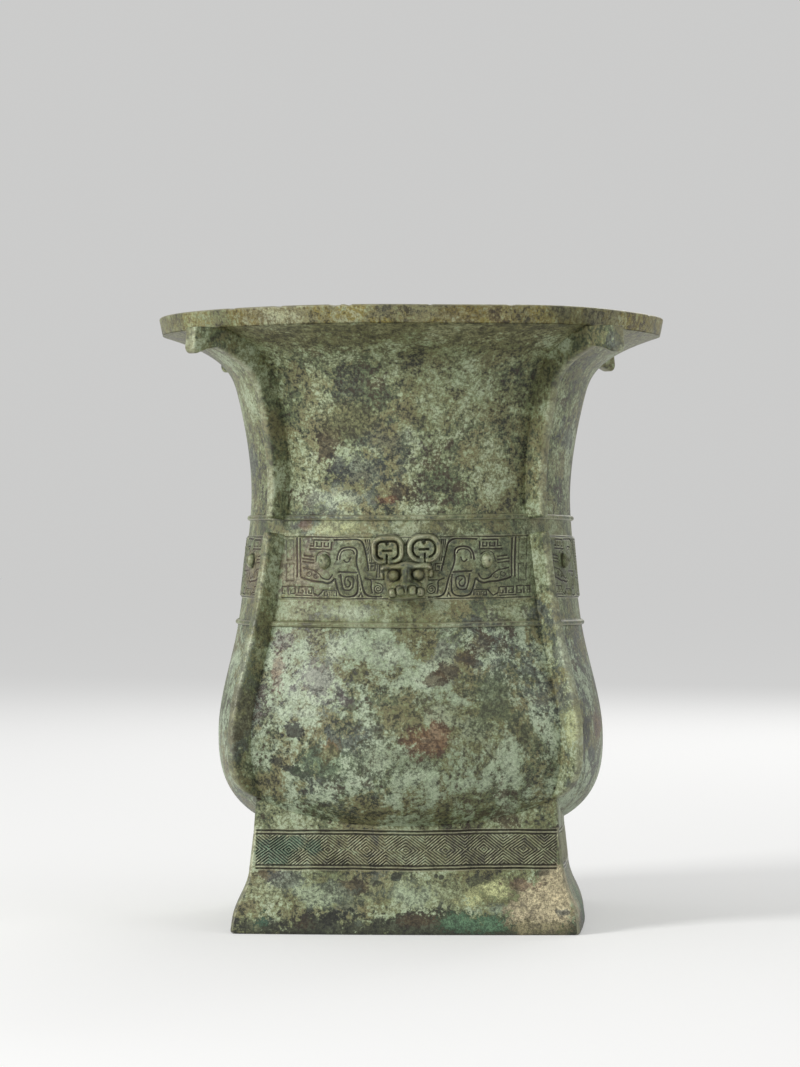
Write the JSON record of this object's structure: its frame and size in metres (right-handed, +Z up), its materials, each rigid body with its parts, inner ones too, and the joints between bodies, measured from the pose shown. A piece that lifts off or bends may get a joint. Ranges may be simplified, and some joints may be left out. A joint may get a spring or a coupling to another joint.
{
  "type": "bronze fang zun",
  "caption": "Square-footed bronze wine vessel with a swelling belly, a band of animal masks and dragons, corner flanges and a round trumpet mouth, for holding and serving wine.",
  "frame": {"origin": "centre of the foot's base, on the surface that the vessel stands on", "axes": "+Z up the vessel's axis to the mouth; -Y out of the front face; +X to the viewer's right"},
  "size_m": [0.2188, 0.2188, 0.26],
  "materials": {
    "foot_bronze": "grey-green patina with sandy and bright green crust",
    "belly_bronze": "pale grey-green patina, mottled dark",
    "band_bronze": "olive-grey patina, darker in the cast grooves",
    "neck_bronze": "grey-green patina, mottled dark brown and blue-grey",
    "lip_bronze": "worn olive-grey patina with brown flecks",
    "flange_bronze": "smooth pale grey-green patina",
    "ornament_bronze": "olive-grey patina, polished on the high points",
    "spacer_bronze": "dark grey patina"
  },
  "bodies": {
    "root": {"bowl_base": "belly_bronze", "mouth_lip": "lip_bronze", "lower_flange_front_right": "flange_bronze", "upper_flange_front_right": "flange_bronze", "lower_flange_back_right": "flange_bronze", "upper_flange_back_right": "flange_bronze", "lower_flange_back_left": "flange_bronze", "upper_flange_back_left": "flange_bronze", "lower_flange_front_left": "flange_bronze", "upper_flange_front_left": "flange_bronze", "foot_wall_front": "foot_bronze", "belly_wall_front": "belly_bronze", "band_wall_front": "band_bronze", "neck_wall_front": "neck_bronze", "animal_mask_front": "ornament_bronze", "dragon_eye_front_a": "ornament_bronze", "dragon_eye_front_b": "ornament_bronze", "wall_spacer_front": "spacer_bronze", "foot_wall_right": "foot_bronze", "belly_wall_right": "belly_bronze", "band_wall_right": "band_bronze", "neck_wall_right": "neck_bronze", "dragon_eye_right_a": "ornament_bronze", "dragon_eye_right_b": "ornament_bronze", "wall_spacer_right": "spacer_bronze", "foot_wall_back": "foot_bronze", "belly_wall_back": "belly_bronze", "band_wall_back": "band_bronze", "neck_wall_back": "neck_bronze", "animal_mask_back": "ornament_bronze", "dragon_eye_back_a": "ornament_bronze", "dragon_eye_back_b": "ornament_bronze", "wall_spacer_back": "spacer_bronze", "foot_wall_left": "foot_bronze", "belly_wall_left": "belly_bronze", "band_wall_left": "band_bronze", "neck_wall_left": "neck_bronze", "dragon_eye_left_a": "ornament_bronze", "dragon_eye_left_b": "ornament_bronze", "wall_spacer_left": "spacer_bronze"}
  },
  "joints": []
}
